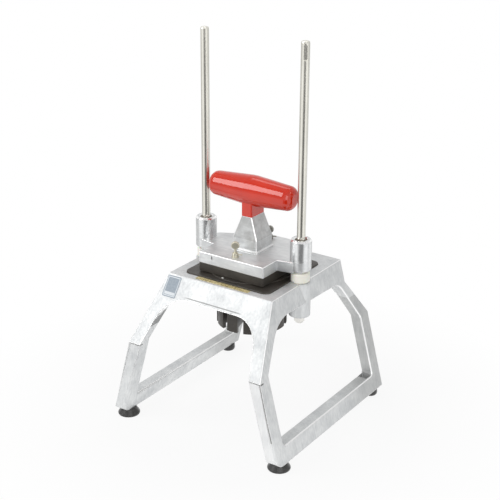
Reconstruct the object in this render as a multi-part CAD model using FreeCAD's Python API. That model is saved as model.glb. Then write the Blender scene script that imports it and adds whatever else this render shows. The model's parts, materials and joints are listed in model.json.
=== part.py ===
"""Table-top fruit wedger press: a push-down head on two rods drives a push block through radial blades.

Millimetres, +Z up, origin on the table midway between the guide rods. +X runs from rod to rod and -Y is
the front.
"""
import FreeCAD
import Part
import math
import os

V = FreeCAD.Vector
UP = V(0, 0, 1)

# --- driving dimensions -------------------------------------------------------------------------------
# Guide rods: 10 mm ground bar, stepped down to a stud inside the bosses of the frame.
ROD_X = 67.5            # each rod stands this far from the middle
ROD_R = 5.0
ROD_TOP = 465.0
ROD_STEP_Z = 150.0
STUD_R = 4.0
ROD_END_ROUND = 2.0
SLOT_HALF, SLOT_Z, SLOT_DEPTH, SLOT_TURN = 2.0, (444.0, 461.4), 1.0, 34.0
WASHER_R, WASHER_T = 7.4, 1.6
NUT_ACROSS, NUT_LOW_Z, NUT_WALL = 12.0, 129.6, 3.5

# Fits: radial clearances of what slides and of what is pressed or screwed together.
SLIDE_GAP = 0.05
SEAT_GAP = 0.02

# Frame casting: a deck between two leaning side loops, closed by an apron in front and a skirt behind.
DECK_Z = 183.5
DECK_FRONT, DECK_BACK = -67.5, 84.0
DECK_HALF_X = 73.2
DECK_WALL = 12.0
DECK_HOLE_HALF = 50.0
SOLE_Z = 9.3            # underside of the casting, where the rubber feet start
LEG_SPLAY = 0.268       # outward lean of the side loops, mm per mm of drop
LOOP_WALL = 16.3
LOOP_X = (40.0, 130.0)  # span that holds the whole right side loop
LOOP_REACH = V(LOOP_X[1] - LOOP_X[0], 0, 0)
KNEE_FRONT = (-121.3, 108.0)
KNEE_BACK = (121.3, 106.0)
TOE_FRONT, TOE_BACK = -124.7, 124.4
TOE_ROUND, HEEL_ROUND = 13.0, 4.0       # the underside curves up to the ends
SHOULDER_BACK_Z = 156.0
KNEE_STEP = 0.9         # the lower leg is set back this far under the front knee
KNEE_LIP = 0.4          # the step is this far below the knee
RUN_OUT_Z = 30.0        # and fades out here
GROOVE_END_Z = 34.0
RAIL_Z = 28.7           # top of the rail along the bottom of a side loop
WINDOW_FRONT_Y, WINDOW_BACK_Y = -103.4, 102.9
EDGE_R, WINDOW_EDGE_R, SHIN_FOOT_R = 1.2, 2.0, 5.0
GROOVE_INSET, GROOVE_WIDTH, GROOVE_DEPTH = 1.4, 1.1, 0.7
APRON_WALL, SKIRT_WALL = 8.0, 8.0
APRON_ARCH_Z, APRON_ARCH_R = 161.3, 35.5
SKIRT_ARCH_Z, SKIRT_ARCH_R = 160.4, 20.0
BOSS_R, BOSS_Z = 12.8, 140.5
POCKET_DEPTH = 9.0

# Rubber feet and their screws.
FOOT_FRONT = (110.0, -106.0)
FOOT_BACK = (110.5, 106.0)
FOOT_R, BACK_FOOT_R = 13.5, 9.3
FOOT_RECESS_R, FOOT_RECESS_Z = 5.0, 4.0
FOOT_SCREW_R, FOOT_SCREW_TOP = 2.5, 22.0

# Cutting set: a square holder dropped into the deck, a round ring in it, twelve blades and a core tube.
HOLDER_HALF_X, HOLDER_HALF_Y, HOLDER_Y, HOLDER_R = 59.5, 58.5, 1.5, 9.0
HOLDER_FLOOR, HOLDER_TOP = 175.6, 184.9
HOLDER_PLAY = 0.3
RING_R, RING_TOP = 52.0, 185.6
CUT_R = 44.0            # 88 mm opening for 3.5 in fruit
COLLAR_R, COLLAR_Z = 49.0, 163.0
SECTIONS = 12
BLADE_T = 1.0
BLADE_Z = (166.5, 182.5)
BLADE_BEVEL = 2.2
BLADE_GRIP = 2.5        # how far each blade reaches into the ring
CORE_R, CORE_WALL = 12.0, 1.2
RING_SCREW_R, RING_SCREW_CIRCLE = 1.4, 49.4
RING_SCREW_ANGLES = (260.0, 80.0)

# Press head: plate, two sleeves on the rods, pedestal and cross grip.
HEAD_HALF = 45.5
HEAD_BACK = 49.5
HEAD_Z = (196.5, 209.8)
# Right ear, as (x, y, corner radius): off the plate, along its front face to the front of the sleeve,
# back through the sleeve, round its gusset and back to the plate.
EAR = [(HEAD_HALF, -16.0, 1.0), (66.0, -12.5, 0.0), (66.0, 12.0, 0.0), (61.0, 19.4, 3.0),
       (HEAD_HALF, 27.0, 2.0)]
SLEEVE_R = 12.7
SLEEVE_Z = (197.5, 236.2)
BUSH_R, BUSH_LENGTH, BUSH_SUNK = 7.2, 13.0, 2.2
BUMPER_R = 11.2
BUMPER_NECK_R, BUMPER_NECK_H = 7.6, 2.0     # the sleeve lands on a narrower neck of the bumper
COLUMN_Y = 0.6                          # the neck and the grip stand this far behind the rods
NECK_X, NECK_Y, NECK_Z = 7.2, 13.5, 252.6
# Pedestal sections from the plate up: half width, front face, back face, height.
PEDESTAL = [(18.2, -17.6, 18.8, 209.3), (18.2, -17.6, 18.8, 211.2), (17.0, -16.4, 17.6, 213.4),
            (16.9, -16.2, 17.4, 226.0),
            (NECK_X, COLUMN_Y - NECK_Y, COLUMN_Y + NECK_Y, NECK_Z)]
GRIP_Z = 281.3
GRIP_HALF = 57.5
GRIP_R_MID, GRIP_R_END, GRIP_EDGE_R = 18.2, 14.8, 9.0
GRIP_BAR_R, GRIP_BAR_HALF = 8.0, 48.0
VINYL_WALL = 2.2

# Push block under the head: plate, twelve fingers that pass between the blades, and a core plug.
BLOCK_Z = (115.1, 186.0)
BLOCK_R = 42.5
BLOCK_SLOT = 7.6
BLOCK_LIP, BLOCK_LIP_H = 4.8, 6.0
BLOCK_TIP_R = 19.0
PLUG_R = 8.5

# Thumb screws that hold the block to the head.
SCREW_FRONT_Y, SCREW_BACK_Y = -35.3, 37.3
SCREW_R = 2.5
INSERT_R, INSERT_DEPTH = 4.0, 8.5
SCREW_COLLAR_R, SCREW_COLLAR_H, SCREW_NECK_R = 3.7, 5.2, 1.7
PADDLE_R, PADDLE_T = 4.8, 3.4
PADDLE_RISE_FRONT, PADDLE_RISE_BACK = 14.2, 11.6
PADDLE_TURN = 30.0
CROSS_PIN_R, CROSS_PIN_REACH, CROSS_PIN_RISE = 0.7, 8.2, 2.6

LABEL_T = 0.25

os.makedirs("parts", exist_ok=True)
nodes = {}


# --- helpers ------------------------------------------------------------------------------------------
def box(x, y, z):
    return Part.makeBox(x[1] - x[0], y[1] - y[0], z[1] - z[0], V(x[0], y[0], z[0]))


def cylinder(radius, z, x=0.0, y=0.0):
    return Part.makeCylinder(radius, z[1] - z[0], V(x, y, z[0]), UP)


def tube(outer, inner, z, x=0.0, y=0.0):
    return cylinder(outer, z, x, y).cut(cylinder(inner, z, x, y))


def outline(corners, place):
    """Closed wire through (a, b, radius) corners; each corner is rounded by a tangent arc."""
    arcs = []
    for index, (a, b, radius) in enumerate(corners):
        here = V(a, b, 0)
        before = V(*corners[index - 1][:2], 0)
        after = V(*corners[(index + 1) % len(corners)][:2], 0)
        back = (before - here).normalize()
        ahead = (after - here).normalize()
        half = back.getAngle(ahead) / 2
        reach = radius / math.tan(half)
        middle = here + (back + ahead).normalize() * (radius / math.sin(half) - radius)
        arcs.append([here + back * reach, middle, here + ahead * reach])
    edges = []
    for index, (start, middle, end) in enumerate(arcs):
        if start.distanceToPoint(end) > 1e-6:
            edges.append(Part.Arc(*[place(point.x, point.y) for point in (start, middle, end)]).toShape())
        following = arcs[(index + 1) % len(arcs)][0]
        edges.append(Part.LineSegment(place(end.x, end.y), place(following.x, following.y)).toShape())
    return Part.Wire(edges)


def slab(corners, place, thickness):
    """Plate with a rounded outline, extruded by the vector thickness."""
    return Part.Face(outline(corners, place)).extrude(thickness)


def on_xy(z):
    return lambda a, b: V(a, b, z)


def on_yz(x):
    return lambda a, b: V(x, a, b)


def on_xz(y):
    return lambda a, b: V(a, y, b)


def rectangle(half_x, half_y, radius, y=0.0):
    return [(-half_x, y - half_y, radius), (half_x, y - half_y, radius),
            (half_x, y + half_y, radius), (-half_x, y + half_y, radius)]


def plate(half_x, half_y, radius, z, y=0.0):
    return slab(rectangle(half_x, half_y, radius, y), on_xy(z[0]), UP * (z[1] - z[0]))


def turned(profile, centre=(0.0, 0.0), axis="z"):
    """Solid of revolution from (radius, height) points, about a vertical axis or the line along X."""
    if axis == "z":
        points = [V(centre[0] + radius, centre[1], height) for radius, height in profile]
        origin, direction = V(centre[0], centre[1], 0), UP
    else:
        points = [V(along, centre[0], centre[1] + radius) for radius, along in profile]
        origin, direction = V(0, *centre), V(1, 0, 0)
    return Part.Face(Part.makePolygon(points + points[:1])).revolve(origin, direction, 360)


def round_edges(shape, radius, wanted):
    """Fillets the edges whose middle point passes the test."""
    edges = []
    for edge in shape.Edges:
        middle = edge.valueAt((edge.FirstParameter + edge.LastParameter) / 2)
        if wanted(middle):
            edges.append(edge)
    return shape.makeFillet(radius, edges)


def near(value, target, tolerance=0.05):
    return abs(value - target) < tolerance


def touches(solid, point):
    """Whether a point lies on the surface of a solid."""
    return solid.Shells[0].distToShape(Part.Vertex(point))[0] < 0.01


def clean(shape):
    """One plain solid, without the seams that a union leaves on flat faces."""
    return shape.removeSplitter().Solids[0]


def mirrored(shape):
    return shape.mirror(V(0, 0, 0), V(1, 0, 0))


def spun(shape, angle):
    copy = shape.copy()
    copy.rotate(V(0, 0, 0), UP, angle)
    return copy


def outer_x(z):
    """Outer face of the right side loop at height z."""
    return DECK_HALF_X + LEG_SPLAY * (DECK_Z - z)


# --- frame casting ------------------------------------------------------------------------------------
def front_slope_y(z):
    """Front face of the apron and of the upper legs."""
    share = (DECK_Z - z) / (DECK_Z - KNEE_FRONT[1])
    return DECK_FRONT + (KNEE_FRONT[0] - DECK_FRONT) * share


def side_loop():
    """Right side loop: a leaning plate cut to a house shape with one large window."""
    profile = [(DECK_FRONT, DECK_Z, 0.0), (*KNEE_FRONT, 0.0), (TOE_FRONT, SOLE_Z, 0.0),
               (TOE_BACK, SOLE_Z, 0.0), (*KNEE_BACK, 0.0), (DECK_BACK, SHOULDER_BACK_Z, 0.0),
               (DECK_BACK, DECK_Z, 0.0)]
    loop = slab(profile, on_yz(LOOP_X[0]), LOOP_REACH).common(leaning_plate()).Solids[0]
    loop = round_shins(loop)
    loop = round_edges(loop, EDGE_R, lambda p: near(p.x, outer_x(p.z)) and p.z > KNEE_BACK[1] + 1)
    loop = round_edges(loop, EDGE_R, lambda p: near(p.y, DECK_FRONT) and near(p.z, DECK_Z))
    opening = window()
    loop = loop.cut(opening).Solids[0]
    loop = round_edges(loop, WINDOW_EDGE_R, lambda p: touches(opening, p) and on_loop_side(p))
    rounds = [toe_cutter(TOE_FRONT, TOE_ROUND), toe_cutter(TOE_BACK, HEEL_ROUND)]
    return loop.cut([knee_relief()] + shin_grooves() + rounds).Solids[0]


def window():
    """Cutter for the large window of the right side loop."""
    corners = [(-64.0, 160.4, 45.0), (-102.3, 110.8, 5.0), (WINDOW_FRONT_Y, RAIL_Z, 4.0),
               (WINDOW_BACK_Y, RAIL_Z, 4.0), (WINDOW_BACK_Y, 104.4, 8.0), (69.8, 157.0, 18.0)]
    return slab(corners, on_yz(LOOP_X[0]), LOOP_REACH)


def on_loop_side(point):
    """Whether a point lies on the outer or the inner face of the right side loop."""
    return near(point.x, outer_x(point.z)) or near(point.x, outer_x(point.z) - LOOP_WALL)


def leaning_plate():
    """Endless plate that leans outwards towards the table; the side loop is cut from it."""
    lean = [(outer_x(DECK_Z) - LOOP_WALL, DECK_Z, 0.0), (outer_x(DECK_Z), DECK_Z, 0.0),
            (outer_x(SOLE_Z), SOLE_Z, 0.0), (outer_x(SOLE_Z) - LOOP_WALL, SOLE_Z, 0.0)]
    return slab(lean, on_xz(-140.0), V(0, 280, 0))


def shin_front_y(z):
    """Front face of the lower front legs."""
    knee_y, knee_z = KNEE_FRONT
    return knee_y + (TOE_FRONT - knee_y) * (knee_z - z) / (knee_z - SOLE_Z)


def shin_wedge(depth, z):
    """Wedge in front of the lower leg that reaches to a depth behind the relieved face."""
    ahead = KNEE_FRONT[0] - 8
    low_z, high_z = z
    step = KNEE_STEP * (low_z - RUN_OUT_Z) / (KNEE_FRONT[1] - RUN_OUT_Z)
    low_y, high_y = shin_front_y(low_z) + step + depth, shin_front_y(high_z) + KNEE_STEP + depth
    corners = [(ahead, high_z, 0.0), (high_y, high_z, 0.0), (low_y, low_z, 0.0), (ahead, low_z, 0.0)]
    return slab(corners, on_yz(LOOP_X[0]), LOOP_REACH)


def knee_relief():
    """Thin wedge that sets the front of the lower leg back, so that the knee ends in a small step."""
    return shin_wedge(0.0, (RUN_OUT_Z, KNEE_FRONT[1] - KNEE_LIP))


def shin_grooves():
    """Fine grooves that frame the relief of the lower leg: under the knee and down its outer edge."""
    high_z, low_z = KNEE_FRONT[1] - KNEE_LIP, GROOVE_END_Z
    right_x, left_x = GROOVE_INSET, GROOVE_INSET + GROOVE_WIDTH
    upright = [(outer_x(high_z) - left_x, high_z, 0.0), (outer_x(high_z) - right_x, high_z, 0.0),
               (outer_x(low_z) - right_x, low_z, 0.0), (outer_x(low_z) - left_x, low_z, 0.0)]
    end_x, under_z = outer_x(high_z) - right_x, high_z - GROOVE_WIDTH
    across = [(LOOP_X[0], under_z, 0.0), (end_x, under_z, 0.0),
              (end_x, high_z, 0.0), (LOOP_X[0], high_z, 0.0)]
    wedge = shin_wedge(GROOVE_DEPTH, (low_z, high_z))
    return [slab(corners, on_xz(-140.0), V(0, 60, 0)).common(wedge) for corners in (upright, across)]


def toe_cutter(tip_y, radius):
    """Cutter that rounds the underside of the casting up to its front or back end at tip_y."""
    inwards = -1 if tip_y > 0 else 1
    centre_y, centre_z = tip_y + inwards * radius, SOLE_Z + radius
    corner = box(LOOP_X, sorted((tip_y - inwards, centre_y)), (SOLE_Z - 1, centre_z))
    return corner.cut(Part.makeCylinder(radius, LOOP_REACH.x, V(LOOP_X[0], centre_y, centre_z), V(1, 0, 0)))


def round_shins(loop):
    """Rounds the corners of the four lower legs: nearly sharp at the knee, fully round at the foot."""
    for rising in (True, False):
        corners = []
        for edge in loop.Edges:
            start, end = edge.valueAt(edge.FirstParameter), edge.valueAt(edge.LastParameter)
            low_z, high_z = sorted((start.z, end.z))
            is_shin = near(low_z, SOLE_Z) and high_z > KNEE_BACK[1] - 1 and abs(start.y) > TOE_BACK - 5
            if is_shin and (start.z < end.z) == rising:
                corners.append(edge)
        if corners:
            first, last = (SHIN_FOOT_R, EDGE_R) if rising else (EDGE_R, SHIN_FOOT_R)
            loop = loop.makeFillet(first, last, corners).Solids[0]
    return loop


def arch(y, depth, top_z, radius):
    """Cutter under an apron: flat top, round shoulders, sides on the inner faces of the loops."""
    foot_z = 60.0
    foot_x = outer_x(foot_z) - LOOP_WALL
    top_x = outer_x(top_z) - LOOP_WALL
    corners = [(-foot_x, foot_z, 0.0), (foot_x, foot_z, 0.0), (top_x, top_z, radius), (-top_x, top_z, radius)]
    return slab(corners, on_xz(y), V(0, depth, 0))


def between_loops(low_z):
    """Outline, in the XZ plane, that ends inside the walls of both loops."""
    low_x, high_x = outer_x(low_z) - 6, DECK_HALF_X - 4
    return [(-low_x, low_z, 0.0), (low_x, low_z, 0.0), (high_x, DECK_Z, 0.0), (-high_x, DECK_Z, 0.0)]


def apron():
    """Sloped front apron with its arch."""
    low_z = 118.0
    low_y = front_slope_y(low_z)
    face = [(DECK_FRONT, DECK_Z, EDGE_R), (low_y, low_z, 0.0), (low_y + APRON_WALL, low_z, 0.0),
            (DECK_FRONT + APRON_WALL + 4, DECK_Z, 0.0)]
    sheet = slab(face, on_yz(-100.0), V(200, 0, 0))
    return sheet.common(slab(between_loops(low_z), on_xz(-140.0), V(0, 120, 0))).cut(
        arch(-140.0, 120.0, APRON_ARCH_Z, APRON_ARCH_R)).Solids[0]


def skirt():
    """Upright back skirt with its arch."""
    low_z, back = 140.0, DECK_BACK
    sheet = box((-100.0, 100.0), (back - SKIRT_WALL, back), (low_z, DECK_Z))
    return sheet.common(slab(between_loops(low_z), on_xz(60.0), V(0, 60, 0))).cut(
        arch(60.0, 60.0, SKIRT_ARCH_Z, SKIRT_ARCH_R)).Solids[0]


def frame_casting():
    inset = 2.0
    deck = box((-DECK_HALF_X + inset, DECK_HALF_X - inset), (DECK_FRONT + inset, DECK_BACK - inset),
               (DECK_Z - DECK_WALL, DECK_Z))
    loop = side_loop()
    gap = window().common(leaning_plate())
    sheets = [sheet.cut([gap, mirrored(gap)]).Solids[0] for sheet in (apron(), skirt())]
    pieces = [loop, mirrored(loop)] + sheets
    for side in (-1, 1):
        pieces.append(round_edges(cylinder(BOSS_R, (BOSS_Z, DECK_Z), side * ROD_X), EDGE_R, lambda p: True))
    casting = deck.fuse(pieces)
    cuts = [holder_plate(HOLDER_PLAY, (HOLDER_FLOOR, DECK_Z + 1)),
            plate(DECK_HOLE_HALF, DECK_HOLE_HALF, 6.0, (DECK_Z - DECK_WALL - 1, DECK_Z))]
    for side in (-1, 1):
        cuts.append(cylinder(ROD_R + SEAT_GAP, (ROD_STEP_Z, DECK_Z + 1), side * ROD_X))
        cuts.append(cylinder(STUD_R + SEAT_GAP, (BOSS_Z - 1, ROD_STEP_Z + 1), side * ROD_X))
        for x, y in (FOOT_FRONT, FOOT_BACK):
            screw_hole = (SOLE_Z - 1, FOOT_SCREW_TOP + 0.5)
            cuts.append(cylinder(FOOT_SCREW_R + SEAT_GAP, screw_hole, side * x, y))
    cuts.append(rail_pocket())
    return clean(casting.cut(cuts))


def holder_plate(grown, z):
    """Plate of the blade holder's outline, grown all round, with a notch beside each bumper."""
    body = plate(HOLDER_HALF_X + grown, HOLDER_HALF_Y + grown, HOLDER_R + grown, z, HOLDER_Y)
    notch_r = BUMPER_R + 2 * HOLDER_PLAY - grown
    notches = [cylinder(notch_r, (z[0] - 1, z[1] + 1), side * ROD_X) for side in (-1, 1)]
    return body.cut(notches).Solids[0]


def rail_pocket():
    """Cored pocket in the top of the right rail, against the foot of the back leg."""
    half_x, half_y, corner = 6.2, 5.6, 1.5
    pocket = slab(rectangle(half_x, half_y, corner, WINDOW_BACK_Y - half_y - 1.3),
                  on_xy(RAIL_Z - POCKET_DEPTH), UP * (POCKET_DEPTH + 4))
    pocket.translate(V(outer_x(RAIL_Z) - LOOP_WALL / 2, 0, 0))
    return pocket


# --- feet ---------------------------------------------------------------------------------------------
def foot(end, x, y):
    """Rubber foot, recessed for its screw: a spreading cone in front, a smaller round button behind."""
    if end == "front":
        profile = [(FOOT_R - 1.3, 0), (FOOT_R - 0.4, 0.5), (FOOT_R, 1.6), (FOOT_R - 0.3, 2.8),
                   (9.4, SOLE_Z - 0.8), (8.8, SOLE_Z)]
    else:
        profile = [(BACK_FOOT_R - 2.9, 0), (BACK_FOOT_R - 1.2, 0.9), (BACK_FOOT_R - 0.3, 2.2),
                   (BACK_FOOT_R, 4.0), (BACK_FOOT_R - 0.3, SOLE_Z - 0.8), (BACK_FOOT_R - 1.0, SOLE_Z)]
    button = turned([(0, 0)] + profile + [(0, SOLE_Z)], (x, y))
    return button.cut([cylinder(FOOT_RECESS_R, (-1, FOOT_RECESS_Z), x, y),
                       cylinder(FOOT_SCREW_R + SEAT_GAP, (0, SOLE_Z + 1), x, y)])


def foot_screw(x, y):
    """Pan-head screw, sunk in the foot and driven up into the casting."""
    head_r = 4.4
    shank = [(FOOT_SCREW_R, FOOT_RECESS_Z), (FOOT_SCREW_R, FOOT_SCREW_TOP), (0, FOOT_SCREW_TOP)]
    return turned([(0, 1.2), (head_r - 1, 1.2), (head_r, 2.0), (head_r, FOOT_RECESS_Z)] + shank, (x, y))


# --- guide rods ---------------------------------------------------------------------------------------
def guide_rod(side):
    """Rod with a rounded top and a stud at the bottom; the right one has a milled slot near its top."""
    corner, stud_z = ROD_END_ROUND, NUT_LOW_Z + NUT_WALL
    rod = turned([(0, stud_z), (STUD_R, stud_z), (STUD_R, ROD_STEP_Z), (ROD_R, ROD_STEP_Z),
                  (ROD_R, ROD_TOP - corner), (ROD_R - corner * 0.3, ROD_TOP - corner * 0.3),
                  (ROD_R - corner, ROD_TOP), (0, ROD_TOP)], (side * ROD_X, 0.0))
    if side < 0:
        return rod
    low, high = SLOT_Z
    corners = rectangle(SLOT_HALF, (high - low) / 2, SLOT_HALF * 0.99, (low + high) / 2)
    slot = spun(slab(corners, on_xz(-ROD_R - 1), V(0, SLOT_DEPTH + 1, 0)), SLOT_TURN)
    slot.translate(V(ROD_X, 0, 0))
    return rod.cut(slot).Solids[0]


def rod_washer(side):
    return tube(WASHER_R, STUD_R + SEAT_GAP, (BOSS_Z - WASHER_T, BOSS_Z), side * ROD_X)


def cap_nut(side):
    """Domed nut under the boss."""
    low, top = NUT_LOW_Z, BOSS_Z - WASHER_T
    reach = NUT_ACROSS / math.sqrt(3)
    corners = []
    for number in range(6):
        angle = math.radians(60 * number)
        corners.append((reach * math.cos(angle), reach * math.sin(angle), 0.0))
    hexagon = slab(corners, on_xy(low), UP * (top - low))
    hexagon.translate(V(side * ROD_X, 0, 0))
    dome = turned([(0, low), (2.6, low + 0.3), (4.6, low + 1.6), (5.8, low + 3.6), (reach + 0.3, low + 4.4),
                   (reach + 0.3, top), (0, top)], (side * ROD_X, 0.0))
    thread = cylinder(STUD_R + SEAT_GAP, (low + NUT_WALL - 0.1, top + 1), side * ROD_X)
    return hexagon.common(dome).cut(thread).Solids[0]


def bumper(side):
    """Soft stop on the deck, round the rod; the sleeve lands on its neck."""
    low, high = DECK_Z, SLEEVE_Z[0]
    shoulder = high - BUMPER_NECK_H
    bore, corner = ROD_R + SLIDE_GAP, 1.5
    return turned([(bore, low), (BUMPER_R - corner, low), (BUMPER_R, low + corner),
                   (BUMPER_R, shoulder - corner), (BUMPER_R - corner, shoulder), (BUMPER_NECK_R, shoulder),
                   (BUMPER_NECK_R, high), (bore, high)], (side * ROD_X, 0.0))


# --- cutting set --------------------------------------------------------------------------------------
def blade():
    """One blade along +X, sharpened on its upper edge."""
    low, high = BLADE_Z
    inner, outer = CORE_R - CORE_WALL, CUT_R + BLADE_GRIP
    half, edge = BLADE_T / 2, 0.08
    section = [(-half, low, 0.0), (half, low, 0.0), (half, high - BLADE_BEVEL, 0.0),
               (edge, high, 0.0), (-edge, high, 0.0), (-half, high - BLADE_BEVEL, 0.0)]
    return slab(section, on_yz(inner), V(outer - inner, 0, 0))


def blades():
    step = 360.0 / SECTIONS
    return [spun(blade(), step * (number + 0.5)) for number in range(SECTIONS)]


def blade_holder():
    """Square adapter that drops into the deck and seats the round ring."""
    low, high = HOLDER_FLOOR, HOLDER_TOP
    square = holder_plate(0.0, (low, high))
    square = round_edges(square, 0.8, lambda p: near(p.z, high))
    return square.cut(cylinder(RING_R + SEAT_GAP, (low - 1, high + 1))).Solids[0]


def blade_ring():
    """Ring with a rim above and a collar through the deck, slotted for the blades."""
    corner = 0.8
    ring = turned([(CUT_R, COLLAR_Z), (COLLAR_R - corner, COLLAR_Z), (COLLAR_R, COLLAR_Z + corner),
                   (COLLAR_R, HOLDER_FLOOR), (RING_R, HOLDER_FLOOR), (RING_R, RING_TOP - corner / 2),
                   (RING_R - corner / 2, RING_TOP), (CUT_R + corner, RING_TOP), (CUT_R, RING_TOP - corner)])
    sockets = []
    for angle in RING_SCREW_ANGLES:
        x, y = screw_place(angle)
        sockets.append(cylinder(RING_SCREW_R + SEAT_GAP, (HOLDER_FLOOR + 1, RING_TOP + 1), x, y))
    return ring.cut(blades() + sockets).Solids[0]


def core_tube():
    """Sharpened coring tube, slotted for the inner ends of the blades."""
    low, high = BLADE_Z[0] - 4.5, BLADE_Z[1] + 0.8
    bore = CORE_R - CORE_WALL
    wall = turned([(bore, low), (CORE_R, low), (CORE_R, high - CORE_WALL), (bore + 0.15, high), (bore, high)])
    return wall.cut(blades()).Solids[0]


def screw_place(angle):
    turn = math.radians(angle)
    return RING_SCREW_CIRCLE * math.cos(turn), RING_SCREW_CIRCLE * math.sin(turn)


def ring_screw(angle):
    """Small round-headed screw in the rim of the ring."""
    low, top = HOLDER_FLOOR + 1.2, RING_TOP
    return turned([(0, low), (RING_SCREW_R, low), (RING_SCREW_R, top), (1.9, top), (1.7, top + 0.6),
                   (1.0, top + 0.9), (0, top + 0.9)], screw_place(angle))


# --- press head ---------------------------------------------------------------------------------------
def head_plate():
    """Square plate with an ear to each sleeve; the ears draw in towards the sleeves."""
    corner = 1.6
    right = [(HEAD_HALF, -HEAD_HALF, corner)] + EAR + [(HEAD_HALF, HEAD_BACK, corner)]
    left = [(-x, y, radius) for x, y, radius in reversed(right)]
    body = slab(right + left, on_xy(HEAD_Z[0]), UP * (HEAD_Z[1] - HEAD_Z[0]))
    return round_edges(body, 1.0, lambda p: near(p.z, HEAD_Z[1]))


def pedestal():
    """Block on the plate that draws in to the neck of the grip."""
    corner = 1.6
    rings = []
    for half_x, front, back, z in PEDESTAL:
        rings.append(outline(rectangle(half_x, (back - front) / 2, corner, (back + front) / 2), on_xy(z)))
    parts = [Part.makeLoft([low, high], True, True) for low, high in zip(rings, rings[1:])]
    return parts[0].fuse(parts[1:]).removeSplitter().Solids[0]


def sleeve(side):
    low, high = SLEEVE_Z
    corner = 1.8
    return turned([(0, low), (SLEEVE_R - corner, low), (SLEEVE_R, low + corner), (SLEEVE_R, high - corner),
                   (SLEEVE_R - corner, high), (0, high)], (side * ROD_X, 0.0))


def grip_core():
    """Cast cross bar and neck inside the grip."""
    start = V(-GRIP_BAR_HALF, COLUMN_Y, GRIP_Z)
    bar = Part.makeCylinder(GRIP_BAR_R, 2 * GRIP_BAR_HALF, start, V(1, 0, 0))
    neck = plate(NECK_X - VINYL_WALL, NECK_Y - VINYL_WALL, 1.0, (NECK_Z - 1.0, GRIP_Z), COLUMN_Y)
    return bar.fuse(neck).removeSplitter()


def head_casting():
    low, high = SLEEVE_Z
    body = head_plate().fuse([sleeve(-1), sleeve(1), pedestal(), grip_core()])
    cuts = []
    for side in (-1, 1):
        x = side * ROD_X
        cuts.append(cylinder(BUSH_R, (HEAD_Z[0] - 1, high + 1), x))
        cuts.append(cylinder(SLEEVE_R, (HEAD_Z[0] - 1, low), x))
        cuts.append(turned([(0, high - 1.0), (BUSH_R, high - 1.0), (BUSH_R + 1.1, high + 0.1),
                            (0, high + 0.1)], (x, 0.0)))
    for y in (SCREW_FRONT_Y, SCREW_BACK_Y):
        cuts.append(cylinder(SCREW_R + 2 * SLIDE_GAP, (HEAD_Z[0] - 1, HEAD_Z[1] + 1), 0.0, y))
    set_screw_slot = slab([(x - 26.6, z + 205.0, r) for x, z, r in rectangle(0.9, 2.2, 0.85)],
                          on_xz(-HEAD_HALF - 1), V(0, 4, 0))
    return clean(body.cut(cuts + [set_screw_slot]))


def grip():
    """Vinyl coat over the cross bar and the neck, thickest in the middle."""
    arc = []
    for step in range(7):
        angle = math.radians(15 * step)
        arc.append((GRIP_R_END - GRIP_EDGE_R * (1 - math.cos(angle)),
                    GRIP_HALF - GRIP_EDGE_R * (1 - math.sin(angle))))
    half = [(GRIP_R_MID, 3.0)] + arc + [(0.0, GRIP_HALF)]
    profile = [(radius, -along) for radius, along in reversed(half)] + half
    body = turned(profile, (COLUMN_Y, GRIP_Z), "x")
    neck = plate(NECK_X, NECK_Y, 1.6, (NECK_Z, GRIP_Z), COLUMN_Y)
    return body.fuse(neck).removeSplitter().cut(grip_core()).Solids[0]


def bushing(side, low):
    return tube(BUSH_R - SEAT_GAP, ROD_R + SLIDE_GAP, (low, low + BUSH_LENGTH), side * ROD_X)


# --- push block ---------------------------------------------------------------------------------------
def block_plate():
    body = plate(HEAD_HALF, HEAD_HALF, 2.0, (BLOCK_Z[1], HEAD_Z[0]))
    holes = [cylinder(INSERT_R + SEAT_GAP, (HEAD_Z[0] - INSERT_DEPTH, HEAD_Z[0] + 1), 0.0, y)
             for y in (SCREW_FRONT_Y, SCREW_BACK_Y)]
    return body.cut(holes).Solids[0]


def wedge_finger():
    """One finger along +X: a sector between two blade slots, with a lip round its foot."""
    low, high = BLOCK_Z
    half_pitch = 180.0 / SECTIONS
    beside_slot = box((-60, 120), (BLOCK_SLOT / 2, 120), (low - 1, high + 1))
    upper = spun(beside_slot, -half_pitch)
    lower = upper.mirror(V(0, 0, 0), V(0, 1, 0))
    sector = cylinder(BLOCK_R, (low, high)).common(upper).common(lower)
    hollow = cylinder(BLOCK_R - BLOCK_LIP, (low - 1, low + BLOCK_LIP_H))
    finger = sector.cut([hollow, cylinder(BLOCK_TIP_R, (low - 1, high + 1))]).Solids[0]
    return round_edges(finger, 1.0, lambda p: near(p.z, low) and math.hypot(p.x, p.y) > BLOCK_R - 0.1)


def core_plug():
    """Round plug that pushes the core out of the coring tube."""
    low = BLOCK_Z[0] + BLOCK_LIP_H
    return turned([(0, low), (PLUG_R - 1, low), (PLUG_R, low + 1), (PLUG_R, BLOCK_Z[1]), (0, BLOCK_Z[1])])


def insert(y):
    return tube(INSERT_R, SCREW_R + SLIDE_GAP, (HEAD_Z[0] - INSERT_DEPTH, HEAD_Z[0]), 0.0, y)


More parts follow.
